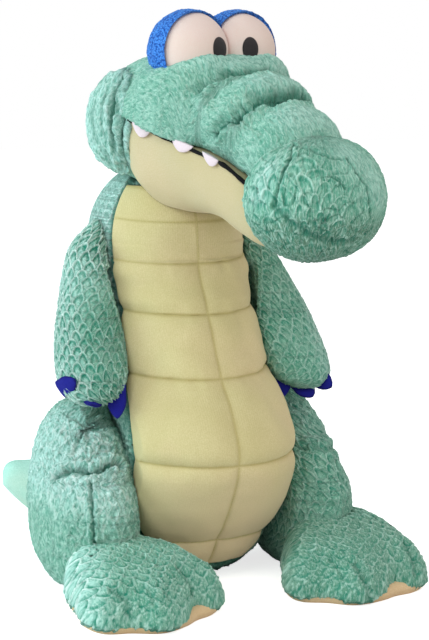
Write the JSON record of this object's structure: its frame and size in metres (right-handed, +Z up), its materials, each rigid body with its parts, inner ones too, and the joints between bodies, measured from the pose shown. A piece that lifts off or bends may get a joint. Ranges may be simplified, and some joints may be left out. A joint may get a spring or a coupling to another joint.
{
  "type": "plush crocodile",
  "caption": "Seated stuffed crocodile toy with a long turned snout, round eyes, padded belly, hanging arms, wide feet and a curled tail.",
  "frame": {"origin": "centre of the flat seat face under the torso, on the floor", "axes": "+Z up, -Y the way the belly faces, +X the crocodile's own left"},
  "size_m": [0.2945, 0.3946, 0.4562],
  "materials": {
    "plush_green": "short embossed pile",
    "belly_cream": "smooth velour with stitched rows",
    "jaw_cream": "smooth velour",
    "sole_cream": "smooth velour",
    "eye_white": "smooth velour",
    "lid_blue": "looped terry",
    "pupil_black": "satin stitch",
    "tooth_felt": "felt",
    "claw_felt": "felt",
    "mouth_black": "dark cloth"
  },
  "bodies": {
    "torso": {"torso": "plush_green", "belly_panel": "belly_cream"},
    "neck": {"neck_pad": "plush_green"},
    "head": {"head": "plush_green", "jaw": "jaw_cream", "mouth_lining": "mouth_black", "nose": "plush_green", "cheek_l": "plush_green", "cheek_r": "plush_green", "eye_l": "eye_white", "eye_r": "eye_white", "eyelid_l": "lid_blue", "eyelid_r": "lid_blue", "pupil_l": "pupil_black", "pupil_r": "pupil_black", "tooth_l1": "tooth_felt", "tooth_l2": "tooth_felt", "tooth_l3": "tooth_felt", "tooth_r1": "tooth_felt", "tooth_r2": "tooth_felt", "tooth_r3": "tooth_felt"},
    "arm_l": {"arm_l": "plush_green", "claw_l1": "claw_felt", "claw_l2": "claw_felt", "claw_l3": "claw_felt"},
    "arm_r": {"arm_r": "plush_green", "claw_r1": "claw_felt", "claw_r2": "claw_felt", "claw_r3": "claw_felt"},
    "leg_l": {"thigh_l": "plush_green", "foot_l": "plush_green", "sole_l": "sole_cream"},
    "leg_r": {"thigh_r": "plush_green", "foot_r": "plush_green", "sole_r": "sole_cream"},
    "tail": {"tail": "plush_green"}
  },
  "joints": [
    {"name": "head_turn", "type": "hinge", "parent": "torso", "child": "neck", "pos_m": [0, 0.039, 0.272], "axis": [0, 0, 1], "range_deg": [-20, 20], "stiffness_Nm_per_rad": 1},
    {"name": "head_nod", "type": "hinge", "parent": "neck", "child": "head", "pos_m": [0, 0.039, 0.272], "axis": [0.9781, 0.2079, 0], "range_deg": [-12, 8], "stiffness_Nm_per_rad": 4, "springref_deg": -1.72},
    {"name": "arm_l_swing", "type": "hinge", "parent": "torso", "child": "arm_l", "pos_m": [0.061, 0.025, 0.266], "axis": [-1, 0, 0], "range_deg": [0, 40], "stiffness_Nm_per_rad": 0.1},
    {"name": "arm_r_swing", "type": "hinge", "parent": "torso", "child": "arm_r", "pos_m": [-0.061, 0.025, 0.266], "axis": [-1, 0, 0], "range_deg": [0, 40], "stiffness_Nm_per_rad": 0.1},
    {"name": "leg_l_lift", "type": "hinge", "parent": "torso", "child": "leg_l", "pos_m": [0.067, -0.01, 0.066], "axis": [-1, 0, 0], "range_deg": [0, 20], "stiffness_Nm_per_rad": 0.5},
    {"name": "leg_r_lift", "type": "hinge", "parent": "torso", "child": "leg_r", "pos_m": [-0.067, -0.01, 0.066], "axis": [-1, 0, 0], "range_deg": [0, 20], "stiffness_Nm_per_rad": 0.5},
    {"name": "tail_wag", "type": "hinge", "parent": "torso", "child": "tail", "pos_m": [0, 0.106, 0.04], "axis": [0, 0, 1], "range_deg": [-20, 6], "stiffness_Nm_per_rad": 0.3}
  ]
}
